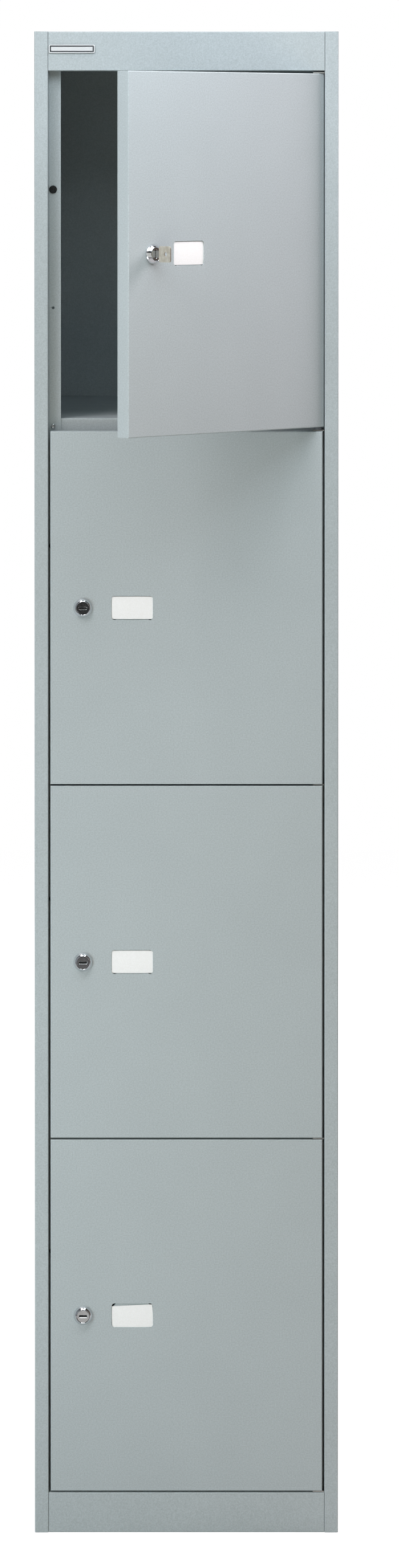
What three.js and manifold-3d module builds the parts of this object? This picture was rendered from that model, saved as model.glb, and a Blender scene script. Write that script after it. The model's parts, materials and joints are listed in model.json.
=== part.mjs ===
// A four-compartment sheet-steel locker: a folded carcass, four hinged doors one above another, and a
// cam lock, rubber stop and name card for each door. The top door stands open with its key in the lock.
// Millimetres, +Z up. The doors face -Y. The origin is on the floor, under the centre of the carcass.
import * as THREE from "three";
import { mergeVertices } from "three/addons/utils/BufferGeometryUtils.js";
import Module from "manifold-3d";

const wasm = await Module();
wasm.setup();

// Carcass
const WIDTH = 305;
const DEPTH = 457;
const HEIGHT = 1510;
const SHEET = 1; // thickness of every steel sheet
const FIT = 0.3; // gap between pieces that touch
const STILE = 14; // width of the upright seen beside the doors
const JAMB_DEPTH = 18; // from the front down to the face that the doors close against
const JAMB_FACE = 12.2; // width of that face
const FOLD = 12; // width of the carcass's hidden folds
const RAIL = 39.5; // height of the rail above the doors
const PLINTH = 40.5;
const FLOOR_FOLD = 20; // width of the folds that stand on the floor

// Doors, numbered from the top
const DOORS = 4;
const DOOR_HEIGHT = 354.6;
const DOOR_THICKNESS = 16;
const DOOR_GAP = 1.6; // between two doors
const SIDE_GAP = 2; // between a door and the stiles
const DOOR_LIP = 10; // width of the fold round the back of a door
const CORNER = 1.2; // bevel on a door's front corners
const TOP_DOOR_LIFT = 2.6; // the top door stands this much higher, on a washer
const OPEN_ANGLE = THREE.MathUtils.degToRad(44.7); // the top door, as it stands
const PIVOT_IN = 5; // hinge axis, in from the door's edge
const PIVOT_BACK = 4.5; // hinge axis, behind the door's face

// Shelves
const SHELF_RISE = 9; // top of a shelf, above the bottom of its door
const SHELF_LIP = 25;

// Locks and cards, placed from a door's free edge
const LOCK_IN = 32.7;
const DOME = { radius: 10.4, centre: 3.2, rim: 0.8, steps: 4 }; // the lock's head is a zone of a sphere
const BARREL_RADIUS = 8;
const BARREL_END = 19.5;
const PLUG_RADIUS = 6.1;
const KEYWAY = { long: 7.6, thick: 2.1, deep: 22 };
const TONGUE = { near: 20.4, far: 22.4, half: 6.5, reach: 31 };
const TAIL = 3.4; // half the width of the plug's square tail
const KEY = { bow: 15.6, neck: 4.1, blade: 20, thick: 1.5, tall: 7 };
const CARD_IN = 82.1;
const CARD = { width: 40.6, height: 22.2, thick: 0.6, corner: 3 };
const POCKET = { width: 41.6, height: 24, deep: 1.4, corner: 3.2 };

// Small pieces on the jamb
const JAMB_LINE = WIDTH / 2 - STILE - 4.4; // screws and door stops lie on this line
const STOP_RISE = 61; // door stop, above the middle of its door
const SPARE_HOLE_DROP = 58;
const HOLE = 1.6;

const OPENING = WIDTH - 2 * STILE;
const DOOR_WIDTH = OPENING - 2 * SIDE_GAP;
const HINGE_X = DOOR_WIDTH / 2 - PIVOT_IN;
const FREE_EDGE = PIVOT_IN - DOOR_WIDTH; // measured from the hinge axis
const JAMB_BACK = JAMB_DEPTH + SHEET;
const LIP_FRONT = JAMB_BACK + FIT; // front face of the shelves' lips
const BACK_FACE = DEPTH - SHEET;
const INSIDE_BACK = BACK_FACE - FIT - SHEET - FIT; // rear edge of the shelves
const INSIDE_HALF = WIDTH / 2 - SHEET - FIT;
const RAIL_HALF = OPENING / 2 - FIT;
const BORE = PLUG_RADIUS + FIT;
const LOCK_HEAD = Math.sqrt(DOME.radius ** 2 - BORE ** 2) - DOME.centre; // how far the lock stands out

const steelPaint = () => new THREE.MeshStandardMaterial({ color: 0xa9b3b5, roughness: 0.5, metalness: 0 });
const chrome = () => new THREE.MeshStandardMaterial({ color: 0xcfd1d2, roughness: 0.1, metalness: 1 });
const steel = () => new THREE.MeshStandardMaterial({ color: 0xa39c8e, roughness: 0.35, metalness: 1 });
const rubber = () => new THREE.MeshStandardMaterial({ color: 0x17191a, roughness: 0.85, metalness: 0 });
const whiteCard = () => new THREE.MeshStandardMaterial({ color: 0xf1f2f2, roughness: 0.7, metalness: 0 });
const nylon = () => new THREE.MeshStandardMaterial({ color: 0x50575a, roughness: 0.6, metalness: 0 });

// A closed geometry as a solid that can be joined and cut.
function solid(geometry) {
  const bare = geometry.index ? geometry.toNonIndexed() : geometry.clone();
  bare.deleteAttribute("normal");
  bare.deleteAttribute("uv");
  const merged = mergeVertices(bare, 1e-4);
  return new wasm.Manifold(
    new wasm.Mesh({
      numProp: 3,
      vertProperties: new Float32Array(merged.attributes.position.array),
      triVerts: new Uint32Array(merged.index.array),
    }),
  );
}

function block(x0, x1, y0, y1, z0, z1) {
  const box = new THREE.BoxGeometry(x1 - x0, y1 - y0, z1 - z0);
  return solid(box.translate((x0 + x1) / 2, (y0 + y1) / 2, (z0 + z1) / 2));
}

// An outline of [x, y] points, drawn up from z0 to z1.
function upright(points, z0, z1) {
  const shape = new THREE.Shape(points.map(([x, y]) => new THREE.Vector2(x, y)));
  const geometry = new THREE.ExtrudeGeometry(shape, { depth: z1 - z0, bevelEnabled: false });
  return solid(geometry.translate(0, 0, z0));
}

// A rod along Z.
function rod(x, y, z0, z1, radius, sides = 16) {
  const geometry = new THREE.CylinderGeometry(radius, radius, z1 - z0, sides);
  return solid(geometry.rotateX(Math.PI / 2).translate(x, y, (z0 + z1) / 2));
}

// A rod along Y, as a drill goes through the front.
function drill(x, z, y0, y1, radius, sides = 24) {
  const geometry = new THREE.CylinderGeometry(radius, radius, y1 - y0, sides);
  return solid(geometry.translate(x, (y0 + y1) / 2, z));
}

// A profile of [radius, y] points turned about the Y axis.
function turned(profile, sides = 24) {
  return solid(new THREE.LatheGeometry(profile.map(([r, y]) => new THREE.Vector2(r, y)), sides));
}

// A rectangle with round corners in the XZ plane, from y0 back to y1.
function roundedPlate(width, height, corner, y0, y1) {
  const [w, h] = [width / 2, height / 2];
  const shape = new THREE.Shape();
  shape.absarc(w - corner, h - corner, corner, 0, Math.PI / 2);
  shape.absarc(corner - w, h - corner, corner, Math.PI / 2, Math.PI);
  shape.absarc(corner - w, corner - h, corner, Math.PI, 1.5 * Math.PI);
  shape.absarc(w - corner, corner - h, corner, 1.5 * Math.PI, 2 * Math.PI);
  const options = { depth: y1 - y0, bevelEnabled: false, curveSegments: 3 };
  const geometry = new THREE.ExtrudeGeometry(shape, options);
  return solid(geometry.rotateX(Math.PI / 2).translate(0, y1, 0));
}

const joined = (pieces) => pieces.reduce((whole, piece) => whole.add(piece));

function mesh(name, made, material) {
  const { vertProperties, triVerts } = made.getMesh();
  const geometry = new THREE.BufferGeometry();
  geometry.setAttribute("position", new THREE.BufferAttribute(vertProperties, 3));
  geometry.setIndex(new THREE.BufferAttribute(triVerts, 1));
  const piece = new THREE.Mesh(geometry.toNonIndexed(), material);
  piece.geometry.computeVertexNormals();
  piece.name = name;
  return piece;
}

// Height of the bottom of door k, counted from 0 at the top.
function doorBottom(k) {
  const lift = k === 0 ? TOP_DOOR_LIFT : 0;
  return PLINTH + 1.5 + (DOORS - 1 - k) * (DOOR_HEIGHT + DOOR_GAP) + lift;
}
const doorMiddle = (k) => doorBottom(k) + DOOR_HEIGHT / 2;
// Top of the shelf that door k's compartment stands on. The lift of the top door leaves its shelf low.
const shelfTop = (k) => doorBottom(k) + SHELF_RISE - (k === 0 ? 1 : 0);
const screwHeight = (k) => shelfTop(k) - 8;

// Hinge plate k lies over door k; the last one lies on the plinth.
const plateBottom = (k) => (k < DOORS ? doorBottom(k) + DOOR_HEIGHT + FIT : PLINTH + 0.2);

// Carcass. Inside the carcass group y = 0 is the front face, and y grows towards the back.

// One side, as the left one: web, stile, jamb and rear flange, with folds along its top and bottom.
function sideSolid() {
  const [outer, inner] = [-WIDTH / 2, -OPENING / 2];
  const top = HEIGHT - SHEET - FIT;
  return joined([
    block(outer, outer + SHEET, 0, BACK_FACE - FIT, 0, HEIGHT),
    block(outer, inner, 0, SHEET, 0, HEIGHT),
    block(inner - SHEET, inner, 0, JAMB_BACK, 0, HEIGHT),
    block(inner - SHEET, inner + JAMB_FACE, JAMB_DEPTH, JAMB_BACK, 0, top),
    block(outer, outer + FOLD, BACK_FACE - FIT - SHEET, BACK_FACE - FIT, 0, HEIGHT),
    block(outer, inner, 0, BACK_FACE - FIT, HEIGHT - SHEET, HEIGHT),
    block(inner - SHEET, inner, LIP_FRONT, INSIDE_BACK, HEIGHT - FOLD, HEIGHT),
    block(outer, outer + FLOOR_FOLD, LIP_FRONT, BACK_FACE - FIT, 0, SHEET),
  ]);
}

function leftSide() {
  let side = sideSolid();
  for (let k = 0; k < DOORS; k++)
    for (const z of [screwHeight(k), doorMiddle(k) + STOP_RISE, doorMiddle(k) - SPARE_HOLE_DROP])
      side = side.subtract(drill(-JAMB_LINE, z, JAMB_DEPTH - 1, JAMB_BACK + 1, HOLE, 12));
  return mesh("left_side", side, steelPaint());
}

// The slot that a hinge plate's tail goes through, in the jamb and in the shelf behind it.
function tailSlot(k) {
  const z = plateBottom(k);
  return block(HINGE_X - 3.3, HINGE_X + 5.3, JAMB_DEPTH - 1, LIP_FRONT + 4, z - FIT, z + SHEET + FIT);
}

function rightSide() {
  let side = sideSolid().mirror([1, 0, 0]);
  for (let k = 0; k <= DOORS; k++) side = side.subtract(tailSlot(k));
  return mesh("right_side", side, steelPaint());
}

function backPanel() {
  return mesh("back_panel", block(-WIDTH / 2, WIDTH / 2, BACK_FACE, DEPTH, 0, HEIGHT), steelPaint());
}

// The roof, with the rail above the doors folded down from its front edge.
function roof() {
  const under = HEIGHT - FOLD;
  const made = joined([
    block(-RAIL_HALF, RAIL_HALF, 0, INSIDE_BACK, HEIGHT - SHEET, HEIGHT),
    block(-RAIL_HALF, RAIL_HALF, 0, SHEET, HEIGHT - RAIL, HEIGHT),
    block(-RAIL_HALF, RAIL_HALF, 0, JAMB_DEPTH - FIT, HEIGHT - RAIL, HEIGHT - RAIL + SHEET),
    block(-RAIL_HALF, SHEET - RAIL_HALF, LIP_FRONT, INSIDE_BACK, under, HEIGHT),
    block(RAIL_HALF - SHEET, RAIL_HALF, LIP_FRONT, INSIDE_BACK, under, HEIGHT),
    block(-RAIL_HALF, RAIL_HALF, INSIDE_BACK - SHEET, INSIDE_BACK, under, HEIGHT),
  ]);
  return mesh("roof", made, steelPaint());
}

function plinth() {
  const back = JAMB_DEPTH - FIT;
  const made = joined([
    block(-RAIL_HALF, RAIL_HALF, 0, SHEET, 0, PLINTH),
    block(-RAIL_HALF, RAIL_HALF, 0, back, 0, SHEET),
    block(-RAIL_HALF, RAIL_HALF, 0, back, PLINTH - SHEET, PLINTH),
  ]);
  return mesh("plinth", made, steelPaint());
}

// A shelf, or the floor of the lowest compartment: a tray turned upside down.
function tray(name, k) {
  const top = shelfTop(k);
  const made = joined([
    block(-INSIDE_HALF, INSIDE_HALF, LIP_FRONT, INSIDE_BACK, top - SHEET, top),
    block(-INSIDE_HALF, INSIDE_HALF, LIP_FRONT, LIP_FRONT + SHEET, top - SHELF_LIP, top),
    block(-INSIDE_HALF, INSIDE_HALF, INSIDE_BACK - SHEET, INSIDE_BACK, top - SHELF_LIP, top),
    block(-INSIDE_HALF, SHEET - INSIDE_HALF, LIP_FRONT, INSIDE_BACK, top - FOLD, top),
    block(INSIDE_HALF - SHEET, INSIDE_HALF, LIP_FRONT, INSIDE_BACK, top - FOLD, top),
  ])
    .subtract(tailSlot(k + 1))
    .subtract(drill(-JAMB_LINE, screwHeight(k), JAMB_BACK, LIP_FRONT + 2, HOLE, 12));
  return mesh(name, made, steelPaint());
}

// A channel across the middle of the base, which holds the lowest floor up off the ground.
function baseStiffener() {
  const [mid, half, top] = [DEPTH / 2, 35, shelfTop(DOORS - 1) - SHEET - FIT];
  const made = joined([
    block(-110, 110, mid - half, mid + half, 0, SHEET),
    block(-110, 110, mid - half, mid - half + SHEET, 0, top),
    block(-110, 110, mid + half - SHEET, mid + half, 0, top),
    block(-110, 110, mid - half - 15, mid - half + SHEET, top - SHEET, top),
    block(-110, 110, mid + half - SHEET, mid + half + 15, top - SHEET, top),
  ]);
  return mesh("base_stiffener", made, steelPaint());
}

// A blank nameplate on the rail.
function badge() {
  const made = roundedPlate(46, 8.4, 1.5, -1.3, -FIT);
  const piece = mesh("badge", made, chrome());
  piece.position.set(23.5 - RAIL_HALF, 0, HEIGHT - 17.5);
  return piece;
}

// A flat plate that sticks forward between two doors and carries the pin that both turn on.
function hingePlate(k) {
  const z = plateBottom(k);
  const up = k === DOORS ? 5 : k === 0 ? 0 : k === 1 ? 8 : 5;
  const down = k === DOORS ? 0 : 5;
  const made = joined([
    block(HINGE_X - 4.5, OPENING / 2 - FIT, 1.5, JAMB_DEPTH - FIT, z, z + SHEET),
    block(HINGE_X - 3, HINGE_X + 5, 10, LIP_FRONT + 3, z, z + SHEET),
    rod(HINGE_X, PIVOT_BACK, z - down, z + SHEET + up, 2),
  ]);
  return mesh("hinge_plate_" + (k + 1), made, steel());
}

function hingeWasher() {
  const low = plateBottom(1) + SHEET + FIT;
  const high = doorBottom(0) - FIT;
  const made = rod(HINGE_X, PIVOT_BACK, low, high, 4).subtract(rod(HINGE_X, PIVOT_BACK, low - 1, high + 1, 2.3));
  return mesh("hinge_washer", made, nylon());
}

// A mushroom-headed rubber stop, pushed into its hole in the jamb.
function doorStop(k) {
  const head = [[0, 16.3], [3.2, 16.3], [4, 16.8], [4, 17.7]];
  const stem = [[1.3, 17.7], [1.3, 19.3], [2.2, 19.3], [1.2, 22], [0, 22]];
  const piece = mesh("door_stop_" + (k + 1), turned([...head, ...stem], 16), rubber());
  piece.position.set(-JAMB_LINE, 0, doorMiddle(k) + STOP_RISE);
  return piece;
}

// A pan-head screw that fastens a shelf's lip to the left jamb.
function shelfScrew(k) {
  const head = [[0, 16.4], [1.4, 16.5], [2.3, 17.1], [2.3, 17.7]];
  const shank = [[1.3, 17.7], [1.3, 26], [0, 26.8]];
  const slot = block(-3, 3, 16, 17, -0.35, 0.35);
  const piece = mesh("shelf_screw_" + (k + 1), turned([...head, ...shank], 12).subtract(slot), steel());
  piece.position.set(-JAMB_LINE, 0, screwHeight(k));
  return piece;
}

// Doors. Inside a door's group the hinge axis is x = 0, the door's face is y = 0, and z = 0 is mid-height.

function doorPanel(k) {
  const [left, right, back, half] = [FREE_EDGE, PIVOT_IN, DOOR_THICKNESS, DOOR_HEIGHT / 2];
  const section = [
    [left + DOOR_LIP, back], [left, back], [left, CORNER], [left + CORNER, 0],
    [right - CORNER, 0], [right, CORNER], [right, back], [right - DOOR_LIP, back],
    [right - DOOR_LIP, back - SHEET], [right - SHEET, back - SHEET], [right - SHEET, SHEET],
    [left + SHEET, SHEET], [left + SHEET, back - SHEET], [left + DOOR_LIP, back - SHEET],
  ];
  const end = [
    [left, back], [left, CORNER], [left + CORNER, 0],
    [right - CORNER, 0], [right, CORNER], [right, back],
  ];
  const pocket = roundedPlate(POCKET.width + 2, POCKET.height + 2, POCKET.corner + 1, 0, POCKET.deep + SHEET);
  const window = roundedPlate(POCKET.width, POCKET.height, POCKET.corner, -1, POCKET.deep);
  const cardX = FREE_EDGE + CARD_IN;
  const made = joined([
    upright(section, -half, half),
    upright(end, -half, SHEET - half),
    upright(end, half - SHEET, half),
    block(left, right, back - SHEET, back, -half, DOOR_LIP - half),
    block(left, right, back - SHEET, back, half - DOOR_LIP, half),
    pocket.translate([cardX, 0, 0]),
  ])
    .subtract(window.translate([cardX, 0, 0]))
    .subtract(drill(FREE_EDGE + LOCK_IN, 0, -1, 3, BARREL_RADIUS + FIT))
    .subtract(rod(0, PIVOT_BACK, -half - 1, 2 - half, 2.3))
    .subtract(rod(0, PIVOT_BACK, half - 2, half + 1, 2.3));
  return mesh("door_" + (k + 1) + "_panel", made, steelPaint());
}

// A vertical top-hat channel behind the door's skin.
function doorStiffener(k) {
  const [near, far, half, foot] = [SHEET + FIT, 13, 15, 10];
  const section = [
    [-half - foot, near], [-half, near], [-half, far - SHEET], [half, far - SHEET], [half, near],
    [half + foot, near], [half + foot, near + SHEET], [half + SHEET, near + SHEET], [half + SHEET, far],
    [-half - SHEET, far], [-half - SHEET, near + SHEET], [-half - foot, near + SHEET],
  ];
  const reach = DOOR_HEIGHT / 2 - DOOR_LIP - 4;
  const piece = mesh("door_" + (k + 1) + "_stiffener", upright(section, -reach, reach), steelPaint());
  piece.position.x = FREE_EDGE / 2;
  return piece;
}

// The card in a door's pocket. The lowest one has slipped a little and lies crooked.
function nameCard(k) {
  const made = roundedPlate(CARD.width, CARD.height, CARD.corner, 0.4, 0.4 + CARD.thick);
  const piece = mesh("name_card_" + (k + 1), made, whiteCard());
  const slipped = k === DOORS - 1;
  piece.position.set(FREE_EDGE + CARD_IN, 0, slipped ? -0.3 : 0);
  piece.rotation.y = slipped ? THREE.MathUtils.degToRad(-1.2) : 0;
  return piece;
}

// The lock's fixed shell: a domed head outside the door and a round barrel through it.
function lockBarrel(k) {
  const inner = Math.asin(BORE / DOME.radius);
  const outer = Math.acos((DOME.centre + DOME.rim) / DOME.radius);
  const dome = [];
  for (let i = 0; i <= DOME.steps; i++) {
    const angle = inner + (outer - inner) * (i / DOME.steps);
    dome.push([DOME.radius * Math.sin(angle), DOME.centre - DOME.radius * Math.cos(angle)]);
  }
  const profile = [
    ...dome, [DOME.radius * Math.sin(outer), -FIT], [BARREL_RADIUS, -FIT],
    [BARREL_RADIUS, BARREL_END], [BORE, BARREL_END], dome[0],
  ];
  return mesh("lock_" + (k + 1) + "_barrel", turned(profile), chrome());
}

function lockNut(k) {
  const hexagon = drill(0, 0, SHEET + FIT, SHEET + FIT + 4, 12.5, 6);
  const made = hexagon.subtract(drill(0, 0, 0, 8, BARREL_RADIUS + FIT));
  return mesh("lock_" + (k + 1) + "_nut", made, steel());
}

// The part that the key turns, with a square tail for the tongue. Its keyway lies level unless it is turned.
function lockPlug(k, isUpright) {
  const front = FIT - LOCK_HEAD;
  const made = turned([[0, front], [PLUG_RADIUS - 0.4, front], [PLUG_RADIUS, front + 0.4],
    [PLUG_RADIUS, BARREL_END - FIT], [0, BARREL_END - FIT]])
    .add(block(-TAIL, TAIL, BARREL_END - 1, TONGUE.far + 0.2, -TAIL, TAIL))
    .subtract(block(-KEYWAY.long / 2, KEYWAY.long / 2, front - 1, front + KEYWAY.deep, -KEYWAY.thick / 2, KEYWAY.thick / 2))
    .subtract(drill(0, 0, TONGUE.far - 7, TONGUE.far + 1, HOLE + 0.2, 16));
  const piece = mesh("lock_" + (k + 1) + "_plug", made, chrome());
  piece.rotation.y = isUpright ? Math.PI / 2 : 0;
  return piece;
}

// The tongue hangs down when the lock is open, and points to the jamb when it is locked.
function lockTongue(k) {
  const { near, far, half, reach } = TONGUE;
  const hole = TAIL + FIT;
  const made = drill(0, 0, near, far, half + 1.5)
    .add(block(-half, half, near, far, -reach, 0))
    .subtract(block(-hole, hole, near - 1, far + 1, -hole, hole));
  return mesh("lock_" + (k + 1) + "_tongue", made, steel());
}

function tongueScrew(k) {
  const back = TONGUE.far + 0.5;
  const made = turned([[0, back - 6], [1.4, back - 6], [1.4, back], [4.6, back], [4.6, back + 1.2], [3, back + 2.2], [0, back + 2.4]], 14)
    .subtract(block(-3.2, 3.2, back + 1.2, back + 3, -0.5, 0.5))
    .subtract(block(-0.5, 0.5, back + 1.2, back + 3, -3.2, 3.2));
  return mesh("lock_" + (k + 1) + "_tongue_screw", made, steel());
}

// A flat key standing upright in the keyway, with a square bow outside.
function key() {
  const { bow, neck, blade, thick, tall } = KEY;
  const plate = roundedPlate(bow, bow, 2.2, -0.9, 0.9)
    .subtract(drill(1.2, 0, -2, 2, 2.2, 20))
    .rotate([0, 0, -90])
    .translate([0, -LOCK_HEAD - neck - bow / 2, 0]);
  const made = plate.add(
    block(-thick / 2, thick / 2, -LOCK_HEAD - neck - 1, blade - LOCK_HEAD, -tall / 2, tall / 2),
  );
  return mesh("key", made, steel());
}

function lock(k, isUpright) {
  const group = new THREE.Group();
  group.add(lockBarrel(k), lockNut(k), lockPlug(k, isUpright), lockTongue(k), tongueScrew(k));
  if (isUpright) group.add(key());
  group.position.x = FREE_EDGE + LOCK_IN;
  return group;
}

function door(k) {
  const group = new THREE.Group();
  const isOpen = k === 0;
  group.add(doorPanel(k), doorStiffener(k), nameCard(k), lock(k, isOpen));
  for (const piece of group.children) piece.position.y -= PIVOT_BACK;
  group.position.set(HINGE_X, PIVOT_BACK, doorMiddle(k));
  group.rotation.z = isOpen ? OPEN_ANGLE : 0;
  return group;
}

const locker = new THREE.Group();
locker.position.y = -DEPTH / 2;
locker.add(leftSide(), rightSide(), backPanel(), roof(), plinth(), baseStiffener(), badge(), hingeWasher());
for (let k = 0; k < DOORS; k++) {
  locker.add(tray(k === DOORS - 1 ? "base_panel" : "shelf_" + (k + 1), k));
  locker.add(hingePlate(k), doorStop(k), shelfScrew(k), door(k));
}
locker.add(hingePlate(DOORS));

export default locker;
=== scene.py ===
"""Looks for a sheet-steel locker: powder-coated sheets, chromed locks, name cards, rubber stops and a key.

Sizes below are millimetres, and MM turns them into metres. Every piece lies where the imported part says.
"""

import json
import math

import bmesh
import bpy
from mathutils import Matrix, Vector


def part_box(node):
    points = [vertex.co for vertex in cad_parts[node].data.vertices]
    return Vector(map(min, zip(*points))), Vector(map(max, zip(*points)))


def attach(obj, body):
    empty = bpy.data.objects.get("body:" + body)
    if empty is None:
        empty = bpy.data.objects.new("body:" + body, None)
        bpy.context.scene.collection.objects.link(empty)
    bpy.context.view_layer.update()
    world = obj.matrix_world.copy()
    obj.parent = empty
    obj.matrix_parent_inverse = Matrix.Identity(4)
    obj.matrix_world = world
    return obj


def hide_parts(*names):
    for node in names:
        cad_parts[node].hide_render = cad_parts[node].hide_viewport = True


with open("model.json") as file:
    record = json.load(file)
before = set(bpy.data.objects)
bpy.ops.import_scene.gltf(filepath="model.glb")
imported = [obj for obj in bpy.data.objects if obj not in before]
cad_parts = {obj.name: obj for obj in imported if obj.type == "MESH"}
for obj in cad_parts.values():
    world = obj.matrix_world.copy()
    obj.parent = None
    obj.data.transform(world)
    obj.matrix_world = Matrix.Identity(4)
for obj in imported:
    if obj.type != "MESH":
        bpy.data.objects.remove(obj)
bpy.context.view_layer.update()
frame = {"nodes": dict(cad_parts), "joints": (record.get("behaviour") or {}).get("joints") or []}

MM = 0.001
SHEET = 1.0
GAP = 0.3
SEAM = 0.18  # how far the rail and the plinth reach into the gaps beside them
BEND = 1.1  # outer radius of a fold
BEND_STEPS = 5
EASE = 0.15  # at the ends of a folded sheet
CREASE_ANGLE = math.radians(28)

# Carcass
STILE = 14.0
JAMB_DEPTH = 18.0
JAMB_FACE = 12.2
JAMB_LINE = 4.4  # screws and stops, in from the stile's edge
FOLD = 12.0
FLOOR_FOLD = 20.0
SPARE_HOLE_DROP = 58.0
SPARE_HOLE = 1.4
CLEAR = 2.0  # between the ends of inner flanges and the sheets beside them
RAIL_CLEAR = 3.0
WELD_ROWS = 10
WELD_END = 60.0
WELD_IN = 7.0
WELD_ACROSS = 90.0
WELD_RADIUS = 3.2
WELD_SLOPE = 0.7
WELD_DEPTH = 0.35
BADGE_RIM = 0.9
BADGE_GROOVE = 1.3
BADGE_CORNER = 1.5
BADGE_RELIEF = 0.55
BADGE_GROUND = 0.6

# Rubber stops and shelf screws: radii, and depths from the front of the head
STOP_DIMPLE = 0.35
STOP_HEAD = 1.4
STOP_STEM = 1.3
STOP_BARB = 2.2
STOP_BARB_FROM = 3.0
STOP_TIP = 1.2
STOP_END = 5.7
SCREW_RECESS = 1.5
SCREW_HEAD = 1.9
SCREW_SHANK = 1.3
SCREW_POINT = 0.8

# Doors
DOOR_LIP = 10.0
POCKET_WIDTH = 41.5
POCKET_HEIGHT = 24.2
POCKET_DEPTH = 1.3
POCKET_SLOPE = 0.4
POCKET_CORNER = 3.1
CORNER_STEPS = 6
SLIT = 1.3
CARD_WIDTH = 41.2
CARD_HEIGHT = 22.6
CARD_THICK = 0.25
CARD_TILT = math.radians(2.6)  # the lowest card has slipped
CARD_DROP = 1.3
CARD_LIFT = 0.15
CARD_SEAT = 0.62
CARD_TUCK = 0.42
CARD_BULGE = 0.3
CORNER_ROUND = 0.35
CORNER_GROWTH = 0.2
LIP_CORNER = 0.6
CHANNEL_BACK = 13.0
CHANNEL_HALF = 15.0
CHANNEL_FOOT = 10.0
CHANNEL_BEND = 1.2
CHANNEL_SHORT = 4.0

# Locks. Depths are from the door's face, or from the plug's face for the keyway and its shutter, whose
# black colour is painted shade.
DOME_RADIUS = 10.4
DOME_CENTRE = 3.2
DOME_RIM = 0.8
DOME_STEPS = 12
MOUTH_DEPTH = 1.2
MOUTH_EASE = 0.25
BORE = 6.4
PLUG = 6.15
BARREL = 8.0
BARREL_END = 19.5
THREAD_FROM = 2.0
THREAD_PITCH = 1.0
THREAD_DEPTH = 0.45
KEYWAY_LONG = 7.8
KEYWAY_THICK = 1.9
KEYWAY_DEEP = 21.6
KEYWAY_CHAMFER = 0.5
KEYWAY_CORNER = 0.5
SHUTTER_FROM = 0.9
SHUTTER_TO = 3.0
SHUTTER_FIT = 0.1
TONGUE_NEAR = 20.4
TONGUE_FAR = 22.4
TONGUE_HALF = 6.5
TONGUE_REACH = 31.0
TONGUE_SHOULDER = 1.5
TONGUE_CORNER = 2.5
TONGUE_FOOT = 5.0
TAIL = 3.4
NUT_RADIUS = 12.5
NUT_THICK = 4.0
HEAD_RADIUS = 4.6
HEAD_BASE = 1.2
HEAD_TOP = 2.2
HEAD_STEP = 0.3
HEAD_FROM = 0.5
CROSS_REACH = 2.6
CROSS_HALF = 0.5
KEY_BOW = 15.6
KEY_NECK = 4.1
KEY_BLADE = 20.0
KEY_CORNER = 2.2
KEY_HOLE_OFF = 1.2
KEY_HOLE = 2.2
KEY_THICK = 1.6
KEY_TALL = 3.4
KEY_CUTS = (1.2, 0.5, 1.6, 0.9, 1.4)
KEY_FIRST_CUT = 2.0
KEY_CUT_PITCH = 2.4
KEY_CUT_HALF = 0.5
KEY_CUT_END = 1.2
KEY_TIP = 2.0

# Camera and room, in metres
CAMERA_DISTANCE = 4.841
CAMERA_HEIGHT = 1.3937
CAMERA_LENS = 110.9
CAMERA_PITCH = math.radians(0.854)
SHIFT_X = 0.00831
SHIFT_Y = -0.36
SENSOR = 36.0
PAINT_COLOUR = (0.431, 0.48, 0.492, 1)
ROOM_LEFT = (0.26, 0.28, 0.3, 1)
ROOM_FRONT = (0.035, 0.035, 0.035, 1)
ROOM_RIGHT = (0.14, 0.11, 0.095, 1)
FLOOR_REACH = 4.5
FLOOR_DROP = 0.0004
FLOOR_GLOW = 0.93
FLOOR_COLOUR = (0.5, 0.5, 0.5, 1)
LIGHT_AIM = (0, -0.2, 0.85)
OVERHEAD_AIM = (0, -0.3, 0)
# Each light: its place, what it points at, its size, power and colour, and whether polished metal shows it.
LIGHTS = {
    "window": ((-1.1, -1.8, 3.0), LIGHT_AIM, 1.0, 29.0, (1.0, 0.93, 0.95), True),
    "low left": ((-0.8, -1.1, 0.4), LIGHT_AIM, 0.6, 6.3, (0.8, 0.94, 1.0), True),
    "low front": ((0.0, -1.5, 0.5), LIGHT_AIM, 0.8, 3.6, (1.0, 0.93, 0.74), False),
    "near left": ((-0.1, -0.7, 1.7), LIGHT_AIM, 0.35, 1.0, (0.85, 0.97, 1.0), True),
    "near middle": ((-0.1, -0.7, 1.2), LIGHT_AIM, 0.35, 0.22, (1.0, 1.0, 0.95), True),
    "near right": ((0.2, -0.7, 1.7), LIGHT_AIM, 0.35, 1.72, (0.86, 0.92, 1.0), True),
    "side": ((1.2, 0.1, 2.1), LIGHT_AIM, 0.8, 27.0, (1.0, 0.89, 0.92), False),
    "roof left": ((-0.75, -0.7, 3.2), OVERHEAD_AIM, 0.9, 9.0, (0.95, 0.98, 1.0), True),
    "roof right": ((0.55, -0.6, 3.2), OVERHEAD_AIM, 0.9, 9.0, (0.95, 0.98, 1.0), True),
    "behind": ((0.9, 2.6, 2.2), LIGHT_AIM, 1.6, 60.0, (1.0, 1.0, 1.0), False),
}

joints = {joint["name"]: joint for joint in frame["joints"]}
nodes = frame["nodes"]


def box_mm(node):
    """The lowest and highest corner of a CAD node, in millimetres."""
    low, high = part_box(node)
    return low / MM, high / MM


BACK_LOW, BACK_HIGH = box_mm("back_panel")
SIDE_LOW, SIDE_HIGH = box_mm("left_side")
ROOF_LOW, ROOF_HIGH = box_mm("roof")
HALF_WIDTH = BACK_HIGH.x
HEIGHT = BACK_HIGH.z
FRONT = SIDE_LOW.y
REAR = SIDE_HIGH.y
OPENING_HALF = HALF_WIDTH - STILE
DOORS = range(1, 5)
TRAYS = ("base_panel", "shelf_1", "shelf_2", "shelf_3")

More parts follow.
